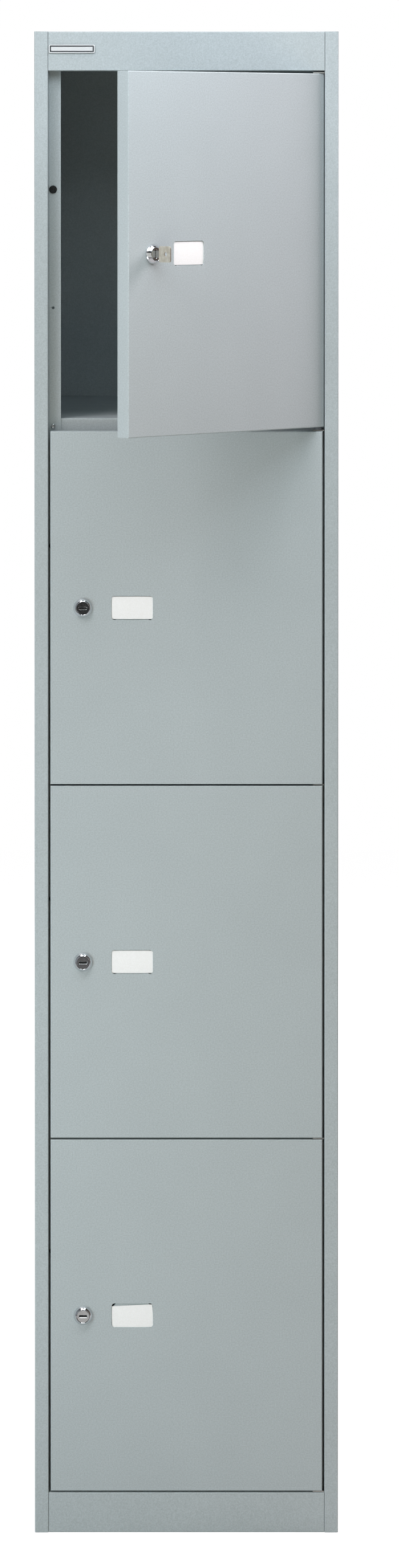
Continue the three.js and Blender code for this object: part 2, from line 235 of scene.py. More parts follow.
DOOR_LOW, DOOR_HIGH = box_mm("door_2_panel")
PIVOT = Vector(joints["door_2_hinge"]["pos_m"]) / MM
FREE_EDGE = DOOR_LOW.x - PIVOT.x
HINGE_EDGE = DOOR_HIGH.x - PIVOT.x
PIVOT_BACK = PIVOT.y - DOOR_LOW.y
DOOR_HALF = (DOOR_HIGH.z - DOOR_LOW.z) / 2
DOOR_THICK = DOOR_HIGH.y - DOOR_LOW.y
LOCK_X = joints["lock_2_turn"]["pos_m"][0] / MM - PIVOT.x
CARD_LOW, CARD_HIGH = box_mm("name_card_2")
CARD_X = (CARD_LOW.x + CARD_HIGH.x) / 2 - PIVOT.x
LOCK_HEAD = math.sqrt(DOME_RADIUS**2 - BORE**2) - DOME_CENTRE


def door_place(number):
    """Where a door's own frame lies: x from the hinge axis, y back from its face, z from mid-height."""
    joint = joints[f"door_{number}_hinge"]
    opened = math.radians(-joint["range_deg"][0])
    turn = Matrix.Rotation(opened, 4, "Z")
    return Matrix.Translation(joint["pos_m"]) @ turn @ Matrix.Translation((0, -PIVOT_BACK * MM, 0))


def lock_place(number, upright=False):
    """A lock's own frame, on the lock's axis; upright turns it so that its x axis points up."""
    place = door_place(number) @ Matrix.Translation((LOCK_X * MM, 0, 0))
    return place @ Matrix.Rotation(math.pi / 2, 4, "Y") if upright else place


# --- Outlines ---------------------------------------------------------------------------------------------


def arc(centre, radius, start, end, steps):
    """Points from angle start to angle end, in degrees."""
    points = []
    for i in range(steps + 1):
        angle = math.radians(start + (end - start) * i / steps)
        across, up = radius * math.cos(angle), radius * math.sin(angle)
        points.append(Vector((centre[0] + across, centre[1] + up)))
    return points


def circle(centre, radius, steps=32):
    return arc(centre, radius, 0, 360, steps)[:-1]


QUARTERS = ((1, 1), (-1, 1), (-1, -1), (1, -1))


def rectangle(width, height, corner=0.0, steps=4, centre=(0, 0)):
    half_width, half_height = width / 2, height / 2
    if corner == 0:
        return [Vector((centre[0] + sx * half_width, centre[1] + sz * half_height)) for sx, sz in QUARTERS]
    points = []
    for quarter, (sx, sz) in enumerate(QUARTERS):
        middle = (centre[0] + sx * (half_width - corner), centre[1] + sz * (half_height - corner))
        points += arc(middle, corner, 90 * quarter, 90 * quarter + 90, steps)
    return points


def octagon(width, height, cut_x, cut_z, centre=(0, 0)):
    """A rectangle with its corners cut off, starting at the right end of the top side."""
    x, z = width / 2, height / 2
    points = [
        (x - cut_x, z), (cut_x - x, z), (-x, z - cut_z), (-x, cut_z - z),
        (cut_x - x, -z), (x - cut_x, -z), (x, cut_z - z), (x, z - cut_z),
    ]
    return [Vector((centre[0] + px, centre[1] + pz)) for px, pz in points]


def filleted(path, radius=BEND, steps=BEND_STEPS):
    """An open path with each of its corners rounded off."""
    path = [Vector(point) for point in path]
    points = [path[0]]
    for before, corner, after in zip(path, path[1:], path[2:]):
        back = (before - corner).normalized()
        ahead = (after - corner).normalized()
        half = back.angle(ahead) / 2
        reach = radius / math.tan(half)
        middle = corner + (back + ahead).normalized() * radius / math.sin(half)
        start = corner + back * reach - middle
        end = corner + ahead * reach - middle
        for i in range(steps + 1):
            points.append(middle + start.slerp(end, i / steps))
    points.append(path[-1])
    return points


def offset(path, distance):
    """The path moved that far to its left."""
    moved = []
    for i, point in enumerate(path):
        before = path[max(i - 1, 0)]
        after = path[min(i + 1, len(path) - 1)]
        ahead = (after - before).normalized()
        moved.append(point + Vector((-ahead.y, ahead.x)) * distance)
    return moved


# --- Meshes -----------------------------------------------------------------------------------------------

# These turn an outline's own u, v and depth so that it is drawn out along X, Z or Y.
ALONG_X = Matrix(((0, 0, 1, 0), (1, 0, 0, 0), (0, 1, 0, 0), (0, 0, 0, 1)))
ALONG_Z = Matrix.Identity(4)
ALONG_Y = Matrix(((1, 0, 0, 0), (0, 0, 1, 0), (0, 1, 0, 0), (0, 0, 0, 1)))


def ring(bm, outline, height, turn):
    return [bm.verts.new(turn @ Vector((u, v, height))) for u, v in outline]


def bridge(bm, first, second, closed=True):
    """Faces between two rings of the same number of points."""
    count = len(first)
    for i in range(count if closed else count - 1):
        j = (i + 1) % count
        bm.faces.new((first[i], first[j], second[j], second[i]))


def fill(bm, rings):
    """A flat face inside the first ring, with holes where the other rings are."""
    edges = []
    for loop in rings:
        for i, vert in enumerate(loop):
            pair = (vert, loop[(i + 1) % len(loop)])
            edges.append(bm.edges.get(pair) or bm.edges.new(pair))
    bmesh.ops.triangle_fill(bm, use_beauty=True, use_dissolve=False, edges=edges)


def add_prism(bm, outline, low, high, turn=ALONG_Z, holes=()):
    """An outline drawn out from low to high, with holes through it."""
    loops = [outline, *holes]
    lower = [ring(bm, loop, low, turn) for loop in loops]
    upper = [ring(bm, loop, high, turn) for loop in loops]
    for first, second in zip(lower, upper):
        bridge(bm, first, second)
    fill(bm, lower)
    fill(bm, upper)


def add_box(bm, x0, x1, y0, y1, z0, z1):
    middle = ((x0 + x1) / 2, (y0 + y1) / 2)
    add_prism(bm, rectangle(x1 - x0, y1 - y0, centre=middle), z0, z1)


def add_fold(bm, path, low, high, turn=ALONG_Z, thickness=SHEET, radius=BEND, steps=BEND_STEPS):
    """A folded sheet: its path, as seen from its end, drawn out from low to high with eased ends.

    The sheet lies to the left of the path, or to its right if the thickness is negative.
    """
    path = filleted(path, radius, steps)
    eased = math.copysign(EASE, thickness)
    rings = []
    for height, inset in ((low, eased), (low + EASE, 0), (high - EASE, 0), (high, eased)):
        outline = offset(path, inset) + offset(path, thickness - inset)[::-1]
        rings.append(ring(bm, outline, height, turn))
    for first, second in zip(rings, rings[1:]):
        bridge(bm, first, second)
    for end in (rings[0], rings[-1]):
        for i in range(len(path) - 1):
            bm.faces.new((end[i], end[i + 1], end[-2 - i], end[-1 - i]))


def add_turned(bm, profile, sides=48):
    """A closed profile of (radius, y) points turned about the Y axis. Points on the axis close it."""
    rings = []
    for radius, y in profile:
        if radius < 1e-6:
            rings.append([bm.verts.new((0, y, 0))])
            continue
        points = circle((0, 0), radius, sides)
        rings.append([bm.verts.new((u, y, v)) for u, v in points])
    pairs = list(zip(rings, rings[1:]))
    if len(rings[0]) > 1:
        pairs.append((rings[-1], rings[0]))
    for first, second in pairs:
        if len(first) == 1 or len(second) == 1:
            tip, loop = (first[0], second) if len(first) == 1 else (second[0], first)
            for i in range(len(loop)):
                bm.faces.new((loop[i], loop[(i + 1) % len(loop)], tip))
        else:
            bridge(bm, first, second)


def baked(obj):
    """The object with its modifiers applied."""
    bpy.context.view_layer.update()
    shown = obj.evaluated_get(bpy.context.evaluated_depsgraph_get())
    mesh = bpy.data.meshes.new_from_object(shown)
    obj.modifiers.clear()
    obj.data = mesh
    mesh.name = obj.name
    return obj


def softened(obj, width):
    """Rounds the sharp edges a little."""
    bevel = obj.modifiers.new("edges", "BEVEL")
    bevel.width = width * MM
    bevel.segments = 2
    bevel.limit_method = "ANGLE"
    bevel.angle_limit = CREASE_ANGLE
    return obj


def unfinished(name, bm):
    """A mesh object just as it was built."""
    bmesh.ops.recalc_face_normals(bm, faces=bm.faces)
    mesh = bpy.data.meshes.new(name)
    bm.to_mesh(mesh)
    bm.free()
    obj = bpy.data.objects.new(name, mesh)
    bpy.context.scene.collection.objects.link(obj)
    return obj


def made(name, bm, material, edge=0.0, thickness=0.0, trued=None):
    """A finished mesh object, from millimetres, with smooth folds, flat faces and its edges eased.

    trued is a function that corrects the mesh once the sheet has its thickness.
    """
    bmesh.ops.scale(bm, vec=(MM, MM, MM), verts=bm.verts)
    obj = unfinished(name, bm)
    if thickness:
        solidify = obj.modifiers.new("sheet", "SOLIDIFY")
        solidify.thickness = thickness * MM
        solidify.offset = -1
        solidify.use_even_offset = True
    if edge:
        softened(obj, edge)
    baked(obj)
    if trued:
        trued(obj.data)
    obj.data.shade_smooth()
    obj.data.set_sharp_from_angle(angle=CREASE_ANGLE)
    flat = obj.modifiers.new("flat faces", "WEIGHTED_NORMAL")
    flat.keep_sharp = True
    flat.weight = 100
    baked(obj)
    obj.data.materials.clear()
    obj.data.materials.append(material)
    return obj


def placed(obj, body, *replaced, slot, place=None):
    """Puts a piece in its place, on its body, instead of the CAD nodes that it stands for."""
    if place is not None:
        obj.matrix_world = place
    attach(obj, body)
    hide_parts(*replaced)
    return obj


# --- Materials --------------------------------------------------------------------------------------------


def linear(red, green, blue):
    """A colour given as sRGB values from 0 to 255."""
    return tuple(((c / 255 + 0.055) / 1.055) ** 2.4 for c in (red, green, blue)) + (1,)


def new_material(name, colour, roughness, metallic=0.0):
    material = bpy.data.materials.new(name)
    material.use_nodes = True
    shader = material.node_tree.nodes["Principled BSDF"]
    shader.inputs["Base Color"].default_value = colour
    shader.inputs["Roughness"].default_value = roughness
    shader.inputs["Metallic"].default_value = metallic
    return material, shader


def noise(material, scale, detail=2.0, roughness=0.5, stretch=(1, 1, 1)):
    """A noise texture on the piece's own coordinates; scale is in features per metre."""
    tree = material.node_tree
    place = tree.nodes.new("ShaderNodeTexCoord")
    mapping = tree.nodes.new("ShaderNodeMapping")
    texture = tree.nodes.new("ShaderNodeTexNoise")
    mapping.inputs["Scale"].default_value = stretch
    texture.inputs["Scale"].default_value = scale
    texture.inputs["Detail"].default_value = detail
    texture.inputs["Roughness"].default_value = roughness
    tree.links.new(place.outputs["Object"], mapping.inputs["Vector"])
    tree.links.new(mapping.outputs["Vector"], texture.inputs["Vector"])
    return texture.outputs["Fac"]


def spread(material, value, low, high, from_low=0.3, from_high=0.7):
    """Maps a noise value to a range."""
    node = material.node_tree.nodes.new("ShaderNodeMapRange")
    node.inputs["From Min"].default_value = from_low
    node.inputs["From Max"].default_value = from_high
    node.inputs["To Min"].default_value = low
    node.inputs["To Max"].default_value = high
    material.node_tree.links.new(value, node.inputs["Value"])
    return node.outputs["Result"]


def tinted(material, value, dark, light):
    """A colour between two, by a value from 0 to 1."""
    mix = material.node_tree.nodes.new("ShaderNodeMix")
    mix.data_type = "RGBA"
    mix.inputs["A"].default_value = dark
    mix.inputs["B"].default_value = light
    material.node_tree.links.new(value, mix.inputs["Factor"])
    return mix.outputs["Result"]


def shade(colour, factor):
    return tuple(channel * factor for channel in colour[:3]) + (1,)


def blended(material, value, colour, low, high):
    """A linked colour made darker or lighter, from low to high times, by a value from 0 to 1."""
    factor = spread(material, value, low, high, 0, 1)
    scale = material.node_tree.nodes.new("ShaderNodeVectorMath")
    scale.operation = "SCALE"
    material.node_tree.links.new(colour, scale.inputs[0])
    material.node_tree.links.new(factor, scale.inputs["Scale"])
    return scale.outputs["Vector"]


def bumped(material, shader, value, height, strength=1.0, under=None):
    """Relief of that height, in millimetres."""
    bump = material.node_tree.nodes.new("ShaderNodeBump")
    bump.inputs["Strength"].default_value = strength
    bump.inputs["Distance"].default_value = height * MM
    material.node_tree.links.new(value, bump.inputs["Height"])
    if under is not None:
        material.node_tree.links.new(under, bump.inputs["Normal"])
    material.node_tree.links.new(bump.outputs["Normal"], shader.inputs["Normal"])
    return bump.outputs["Normal"]


def powder_coat():
    """Light grey powder coat: a fine grain, orange peel, faint mottling and slightly uneven gloss."""
    material, shader = new_material("powder coat", PAINT_COLOUR, 0.45)
    links = material.node_tree.links
    mottle = spread(material, noise(material, 14, 4), 0, 1)
    base = tinted(material, mottle, shade(PAINT_COLOUR, 0.985), shade(PAINT_COLOUR, 1.015))
    grain = noise(material, 750, 3, 0.6)
    speckled = blended(material, spread(material, grain, 0, 1, 0.25, 0.75), base, 0.86, 1.14)
    links.new(speckled, shader.inputs["Base Color"])
    gloss = spread(material, noise(material, 60, 5, 0.6), 0.4, 0.52)
    links.new(gloss, shader.inputs["Roughness"])
    peel = bumped(material, shader, grain, 0.06, 0.5)
    bumped(material, shader, noise(material, 1300, 2), 0.02, 0.45, under=peel)
    shader.inputs["Specular IOR Level"].default_value = 0.45
    return material


def chrome():
    material, shader = new_material("chrome", (0.74, 0.75, 0.77, 1), 0.06, 1)
    smear = spread(material, noise(material, 500, 3, 0.6), 0.04, 0.1)
    material.node_tree.links.new(smear, shader.inputs["Roughness"])
    return material


def nickel():
    """Satin nickel of the plugs' faces."""
    material, shader = new_material("nickel", (0.62, 0.63, 0.63, 1), 0.15, 1)
    links = material.node_tree.links
    patch = spread(material, noise(material, 160, 2), 0, 1)
    tone = tinted(material, patch, (0.58, 0.59, 0.59, 1), (0.66, 0.67, 0.67, 1))
    links.new(tone, shader.inputs["Base Color"])
    links.new(spread(material, noise(material, 400, 2), 0.13, 0.19), shader.inputs["Roughness"])
    return material


def key_metal():
    """Nickel-plated brass, rubbed dull and finely scratched."""
    material, shader = new_material("key metal", (0.66, 0.62, 0.54, 1), 0.45, 0.75)
    links = material.node_tree.links
    worn = spread(material, noise(material, 260, 5, 0.65), 0, 1, 0.4, 0.65)
    tone = tinted(material, worn, (0.58, 0.53, 0.44, 1), (0.72, 0.68, 0.6, 1))
    links.new(tone, shader.inputs["Base Color"])
    links.new(spread(material, noise(material, 900, 4), 0.38, 0.52), shader.inputs["Roughness"])
    bumped(material, shader, noise(material, 1100, 3, stretch=(0.1, 0.1, 1)), 0.02, 0.4)
    return material


def zinc():
    """Zinc-plated steel, dull, with a faint yellow passivation."""
    material, shader = new_material("zinc plate", (0.55, 0.55, 0.52, 1), 0.38, 1)
    links = material.node_tree.links
    patch = spread(material, noise(material, 180, 5, 0.6), 0, 1)
    tone = tinted(material, patch, (0.46, 0.46, 0.44, 1), (0.62, 0.61, 0.56, 1))
    links.new(tone, shader.inputs["Base Color"])
    links.new(spread(material, noise(material, 700, 4), 0.3, 0.5), shader.inputs["Roughness"])
    bumped(material, shader, noise(material, 1600, 2), 0.015, 0.4)
    return material


def rubber():
    material, shader = new_material("black rubber", (0.012, 0.013, 0.013, 1), 0.6)
    links = material.node_tree.links
    dust = spread(material, noise(material, 700, 4, 0.7), 0, 1, 0.45, 0.8)
    tone = tinted(material, dust, (0.01, 0.011, 0.011, 1), (0.035, 0.036, 0.036, 1))
    links.new(tone, shader.inputs["Base Color"])
    bumped(material, shader, noise(material, 1800, 3), 0.03, 0.6)
    shader.inputs["Specular IOR Level"].default_value = 0.25
    return material


def paper():
    """White card with a fine tooth."""
    material, shader = new_material("white card", linear(243, 243, 242), 0.8)
    links = material.node_tree.links
    fibre = spread(material, noise(material, 900, 6, 0.7), 0, 1)
    tone = tinted(material, fibre, linear(239, 239, 237), linear(247, 247, 247))
    links.new(tone, shader.inputs["Base Color"])
    bumped(material, shader, noise(material, 2200, 4, 0.7), 0.02, 0.5)
    return material


def nylon():
    material, shader = new_material("grey nylon", (0.09, 0.1, 0.11, 1), 0.5)
    bumped(material, shader, noise(material, 1500, 3), 0.02, 0.4)
    return material


def badge_metal():
    """Bright silver finish, with a very fine satin."""
    material, shader = new_material("badge metal", (0.8, 0.81, 0.82, 1), 0.3, 0.3)
    satin = spread(material, noise(material, 6000, 2, stretch=(0.3, 1, 1)), 0.28, 0.34)
    material.node_tree.links.new(satin, shader.inputs["Roughness"])
    return material


def badge_painted_shade_ground():
    """Ground of the nameplate, near black: painted shade that stands in for the shadows round the raised
    letters, with random flecks of tone.
    """
    material, shader = new_material("badge ground painted shade", (0.06, 0.065, 0.07, 1), 0.4)
    fleck = spread(material, noise(material, 1800, 3), 0, 1)
    ground = tinted(material, fleck, (0.045, 0.05, 0.055, 1), (0.08, 0.085, 0.09, 1))
    material.node_tree.links.new(ground, shader.inputs["Base Color"])
    return material


PAINT = powder_coat()
CHROME = chrome()
NICKEL = nickel()
KEY_METAL = key_metal()
ZINC = zinc()
RUBBER = rubber()
PAPER = paper()
NYLON = nylon()
BADGE_METAL = badge_metal()
BADGE_SHADE_GROUND = badge_painted_shade_ground()


# --- Carcass ----------------------------------------------------------------------------------------------


def side(name, sign):
    """A folded side: rear flange, web, stile and jamb, with folds along its top and its foot."""
    outer, inner = -HALF_WIDTH, -OPENING_HALF
    jamb = FRONT + JAMB_DEPTH
    path = [
        (outer + FOLD, REAR), (outer, REAR), (outer, FRONT),
        (inner, FRONT), (inner, jamb), (inner + JAMB_FACE, jamb),
    ]
    bm = bmesh.new()
    add_fold(bm, path, 0, HEIGHT)
    if sign < 0:
        bm = drilled(bm, [(JAMB_LINE - OPENING_HALF, middle_of(n) - SPARE_HOLE_DROP) for n in DOORS])
    add_box(bm, outer + BEND, inner, FRONT + SHEET, REAR - BEND, HEIGHT - SHEET, HEIGHT)
    add_box(bm, inner - SHEET, inner, jamb + CLEAR, REAR - CLEAR, HEIGHT - FOLD, HEIGHT - SHEET)
    add_box(bm, outer + BEND, outer + FLOOR_FOLD, jamb + CLEAR, REAR - BEND, 0, SHEET)
    if sign > 0:
        bmesh.ops.scale(bm, vec=(-1, 1, 1), verts=bm.verts)
    return placed(made("folded_" + name, bm, PAINT), "cabinet", name, slot="grey_paint")


def middle_of(number):
    """The height of a door's middle."""
    return joints[f"door_{number}_hinge"]["pos_m"][2] / MM


def drilled(bm, places):
    """The sheet with small empty holes through the jamb."""
    jamb = FRONT + JAMB_DEPTH
    holes = bmesh.new()
    for x, z in places:
        add_prism(holes, circle((x, z), SPARE_HOLE, 20), jamb - CLEAR, jamb + 2 * CLEAR, ALONG_Y)
    sheet = unfinished("sheet", bm)
    drill = unfinished("drill", holes)
    cut = sheet.modifiers.new("holes", "BOOLEAN")
    cut.object = drill
    cut.operation = "DIFFERENCE"
    cut.solver = "EXACT"
    baked(sheet)
    result = bmesh.new()
    result.from_mesh(sheet.data)
    bpy.data.objects.remove(drill)
    bpy.data.objects.remove(sheet)
    return result


def back_panel():
    """The back sheet, with the dimples of its spot welds down both sides and across at each tray."""
    middle = ((BACK_LOW.x + BACK_HIGH.x) / 2, (BACK_LOW.z + BACK_HIGH.z) / 2)
    width, height = BACK_HIGH.x - BACK_LOW.x, BACK_HIGH.z - BACK_LOW.z
    places = []
    for row in range(WELD_ROWS):
        z = BACK_LOW.z + WELD_END + (height - 2 * WELD_END) * row / (WELD_ROWS - 1)
        places += [(BACK_LOW.x + WELD_IN, z), (BACK_HIGH.x - WELD_IN, z)]
    for node in TRAYS:
        top = box_mm(node)[1].z
        places += [(x, top - WELD_IN) for x in (-WELD_ACROSS, 0, WELD_ACROSS)]
    bm = bmesh.new()
    outline = rectangle(width, height, centre=middle)
    inside = ring(bm, outline, BACK_LOW.y, ALONG_Y)
    outside = ring(bm, outline, BACK_HIGH.y, ALONG_Y)
    bridge(bm, inside, outside)
    bm.faces.new(inside)
    rims = []
    for place in places:
        rim = ring(bm, circle(place, WELD_RADIUS, 24), BACK_HIGH.y, ALONG_Y)
        foot = ring(bm, circle(place, WELD_RADIUS - WELD_SLOPE, 24), BACK_HIGH.y - WELD_DEPTH, ALONG_Y)
        bridge(bm, rim, foot)
        bm.faces.new(foot)
        rims.append(rim)
    fill(bm, [outside, *rims])
    return placed(made("back_sheet", bm, PAINT), "cabinet", "back_panel", slot="grey_paint")


def roof():
    """The roof sheet, with the rail over the doors folded down from its front edge."""
    inside = FRONT + JAMB_DEPTH - GAP
    rear = ROOF_HIGH.y
    rail = [(inside, ROOF_LOW.z), (FRONT, ROOF_LOW.z)]
    path = rail + [(FRONT, HEIGHT), (rear, HEIGHT), (rear, HEIGHT - FOLD)]
    bm = bmesh.new()
    add_fold(bm, path, ROOF_LOW.x - SEAM, ROOF_HIGH.x + SEAM, ALONG_X, -SHEET)
    for x in (ROOF_LOW.x, ROOF_HIGH.x - SHEET):
        add_box(bm, x, x + SHEET, inside + RAIL_CLEAR, rear - CLEAR, HEIGHT - FOLD, HEIGHT - SHEET / 2)
    return placed(made("roof_and_rail", bm, PAINT), "cabinet", "roof", slot="grey_paint")


def plinth():
    """The folded board below the doors."""
    low, high = box_mm("plinth")
    path = [(high.y, low.z), (FRONT, low.z), (FRONT, high.z), (high.y, high.z)]
    bm = bmesh.new()
    add_fold(bm, path, low.x - SEAM, high.x + SEAM, ALONG_X, -SHEET)
    return placed(made("plinth_board", bm, PAINT), "cabinet", "plinth", slot="grey_paint")


def tray(node):
    """A shelf or the bottom tray: a sheet folded down on all four sides."""
    low, high = box_mm(node)
    path = [(low.y, low.z), (low.y, high.z), (high.y, high.z), (high.y, low.z)]
    bm = bmesh.new()
    add_fold(bm, path, low.x, high.x, ALONG_X, -SHEET)
    for x in (low.x + EASE, high.x - SHEET - EASE):
        add_box(bm, x, x + SHEET, low.y + CLEAR, high.y - CLEAR, high.z - FOLD, high.z - SHEET / 2)
    return placed(made(node + "_tray", bm, PAINT), "cabinet", node, slot="grey_paint")


def badge():
    """A plain nameplate: a bright rim and a bright raised panel, with a groove between them whose
    near-black ground is painted shade.
    """
    low, high = box_mm("badge")
    middle = ((low.x + high.x) / 2, (low.z + high.z) / 2)
    width, height = high.x - low.x, high.z - low.z

    def layer(inset, corner):
        return rectangle(width - 2 * inset, height - 2 * inset, corner, 6, centre=middle)

    bm = bmesh.new()
    add_prism(bm, layer(0, BADGE_CORNER), low.y + BADGE_GROUND, high.y, ALONG_Y)
    # Painted shade: the ground's near-black colour gives the groove the dark outlines of shadows round
    # raised letters.
    placed(made("nameplate_ground", bm, BADGE_SHADE_GROUND, edge=0.1), "cabinet", slot="chrome")
    relief = low.y + BADGE_RELIEF
    window = layer(BADGE_RIM, BADGE_CORNER - 0.6)
    panel = layer(BADGE_RIM + BADGE_GROOVE, BADGE_CORNER - 1)
    bm = bmesh.new()
    add_prism(bm, layer(0, BADGE_CORNER), low.y, relief, ALONG_Y, holes=[window])
    add_prism(bm, panel, low.y, relief, ALONG_Y)
    return placed(made("nameplate", bm, BADGE_METAL, edge=0.15), "cabinet", "badge", slot="chrome")


def add_fastener(bm, node, profile, sides):
    """A profile of (radius, depth) points turned about a node's middle, with depths from its front."""
    low, high = box_mm(node)
    add_turned(bm, [(radius, low.y + depth) for radius, depth in profile], sides)
    bmesh.ops.translate(bm, vec=((low.x + high.x) / 2, 0, (low.z + high.z) / 2), verts=bm.verts)


def door_stop(number):
    """A rubber stop: a low mushroom head with a dimple in it, and its barbed stem."""
    node = f"door_stop_{number}"
    low, high = box_mm(node)
    radius = (high.x - low.x) / 2
    dimple = [(0, STOP_DIMPLE), (0.9, STOP_DIMPLE - 0.05), (1.3, 0.05)]
    crown = [(radius - 1.1, 0), (radius - 0.45, 0.14), (radius - 0.12, 0.4), (radius, 0.8)]
    head = crown + [(radius, STOP_HEAD)]
    stem = [(STOP_STEM, STOP_HEAD), (STOP_STEM, STOP_BARB_FROM), (STOP_BARB, STOP_BARB_FROM)]
    tip = [(STOP_TIP, STOP_END), (0, STOP_END)]
    bm = bmesh.new()
    add_fastener(bm, node, dimple + head + stem + tip, 48)
    return placed(made(f"rubber_stop_{number}", bm, RUBBER), "cabinet", node, slot="black_rubber")


def cross(reach, half):
    """The outline of a cross-shaped recess."""
    points = [
        (reach, half), (half, half), (half, reach), (-half, reach), (-half, half), (-reach, half),
        (-reach, -half), (-half, -half), (-half, -reach), (half, -reach), (half, -half), (reach, -half),
    ]
    return [Vector(point) for point in points]


def shelf_screw(number):
    """A round-headed screw with a deep recess."""
    node = f"shelf_screw_{number}"
    low, high = box_mm(node)
    radius, length = (high.x - low.x) / 2, high.y - low.y
    recess = [(0, SCREW_RECESS), (0.5, SCREW_RECESS - 0.05), (1.35, 0.25), (1.6, 0.04)]
    head = [(radius - 0.6, 0), (radius - 0.2, 0.25), (radius, 0.7), (radius, SCREW_HEAD)]
    shank = [(SCREW_SHANK, SCREW_HEAD), (SCREW_SHANK, length - SCREW_POINT), (0, length)]
    bm = bmesh.new()
    add_fastener(bm, node, recess + head + shank, 32)
    return placed(made(f"round_screw_{number}", bm, NICKEL), "cabinet", node, slot="zinc_steel")


# --- Doors ------------------------------------------------------------------------------------------------


def door_loop(bm, inset, depth, corner):
    """A rectangle round the door, that far in from its edges and that deep."""
    width = HINGE_EDGE - FREE_EDGE - 2 * inset
    height = 2 * (DOOR_HALF - inset)
    outline = rectangle(width, height, corner, 3, centre=((FREE_EDGE + HINGE_EDGE) / 2, 0))
    return ring(bm, outline, depth, ALONG_Y)


def card_pocket(bm):
    """Walls and floor of the pressed pocket, with slits behind its four corners, which hold the card."""
    centre = (CARD_X, 0)
    slope = 2 * POCKET_SLOPE
    cut = POCKET_CORNER + SLIT
    rim = rectangle(POCKET_WIDTH, POCKET_HEIGHT, POCKET_CORNER, CORNER_STEPS, centre)
    floor = octagon(POCKET_WIDTH - slope, POCKET_HEIGHT - slope, cut, cut, centre)
    upper = ring(bm, rim, 0, ALONG_Y)
    lower = ring(bm, floor, POCKET_DEPTH, ALONG_Y)
    per_corner = CORNER_STEPS + 1
    for i in range(4):
        start = upper[i * per_corner + CORNER_STEPS]
        end = upper[(i + 1) * per_corner % len(upper)]
        bm.faces.new((start, end, lower[2 * i + 1], lower[2 * i]))
    bm.faces.new(lower)
    return upper


def level_back(mesh):
    """Sets the back of the skin and of the pocket's floor flat, which the added thickness leaves uneven.

    The back's vertices follow the front's, in the same order.
    """
    half = len(mesh.vertices) // 2
    for front, back in zip(mesh.vertices[:half], mesh.vertices[half:]):
        for depth in (0, POCKET_DEPTH):
            if abs(front.co.y / MM - depth) < 0.001:
                back.co.y = (depth + SHEET) * MM


def door_panel(number):
    """A door pan: its skin, with the lock's hole and the card's pocket, and four folded edges with lips."""
    bm = bmesh.new()
    loops = []
    for i in range(BEND_STEPS + 1):
        angle = math.pi / 2 * i / BEND_STEPS
        inset = BEND * (1 - math.sin(angle))
        depth = BEND * (1 - math.cos(angle))
        loops.append(door_loop(bm, inset, depth, CORNER_ROUND + inset * CORNER_GROWTH))
    for i in range(BEND_STEPS + 1):
        angle = math.pi / 2 * i / BEND_STEPS
        inset = BEND * (1 - math.cos(angle))
        depth = DOOR_THICK - BEND * (1 - math.sin(angle))
        loops.append(door_loop(bm, inset, depth, CORNER_ROUND + inset * CORNER_GROWTH))
    loops.append(door_loop(bm, DOOR_LIP, DOOR_THICK, LIP_CORNER))
    for first, second in zip(loops, loops[1:]):
        bridge(bm, first, second)
    pocket = card_pocket(bm)
    hole = ring(bm, circle((LOCK_X, 0), BARREL + GAP, 32), 0, ALONG_Y)
    fill(bm, [loops[0], pocket, hole])
    obj = made(f"door_{number}_pan", bm, PAINT, thickness=SHEET, trued=level_back)
    node = f"door_{number}_panel"
    return placed(obj, f"door_{number}", node, place=door_place(number), slot="grey_paint")


def door_stiffener(number):
    """The top-hat channel behind the skin."""
    near, half = SHEET + GAP, CHANNEL_HALF
    crown, foot = CHANNEL_BACK - SHEET, CHANNEL_HALF + CHANNEL_FOOT
    path = [(-foot, near), (-half, near), (-half, crown), (half, crown), (half, near), (foot, near)]
    reach = DOOR_HALF - DOOR_LIP - CHANNEL_SHORT
    bm = bmesh.new()
    add_fold(bm, path, -reach, reach, radius=CHANNEL_BEND, steps=3)
    bmesh.ops.translate(bm, vec=(FREE_EDGE / 2, 0, 0), verts=bm.verts)
    obj = made(f"door_{number}_channel", bm, PAINT)
    node = f"door_{number}_stiffener"
    return placed(obj, f"door_{number}", node, place=door_place(number), slot="grey_paint")


def name_card(number):
    """A paper card that bulges a little, with its corners tucked behind the pocket's tabs."""
    across, up = 24, 16
    bm = bmesh.new()
    grid = []
    for j in range(up + 1):
        v = 2 * j / up - 1
        row = []
        for i in range(across + 1):
            u = 2 * i / across - 1
            tucked = abs(u * v) ** 3
            bulge = (1 - u * u) * (1 - v * v)
            depth = CARD_SEAT + CARD_TUCK * tucked - CARD_BULGE * bulge
            row.append(bm.verts.new((u * CARD_WIDTH / 2, depth, v * CARD_HEIGHT / 2)))
        grid.append(row)
    for lower, upper in zip(grid, grid[1:]):
        bridge(bm, lower, upper, closed=False)
    slipped = number == DOORS[-1]
    turn = Matrix.Rotation(-CARD_TILT if slipped else 0.0, 4, "Y")
    bmesh.ops.transform(bm, matrix=turn, verts=bm.verts)
    bmesh.ops.translate(bm, vec=(CARD_X, 0, -CARD_DROP if slipped else CARD_LIFT), verts=bm.verts)
    obj = made(f"card_{number}", bm, PAPER, thickness=CARD_THICK)
    node = f"name_card_{number}"
    return placed(obj, f"door_{number}", node, place=door_place(number), slot="white_card")


# --- Locks ------------------------------------------------------------------------------------------------


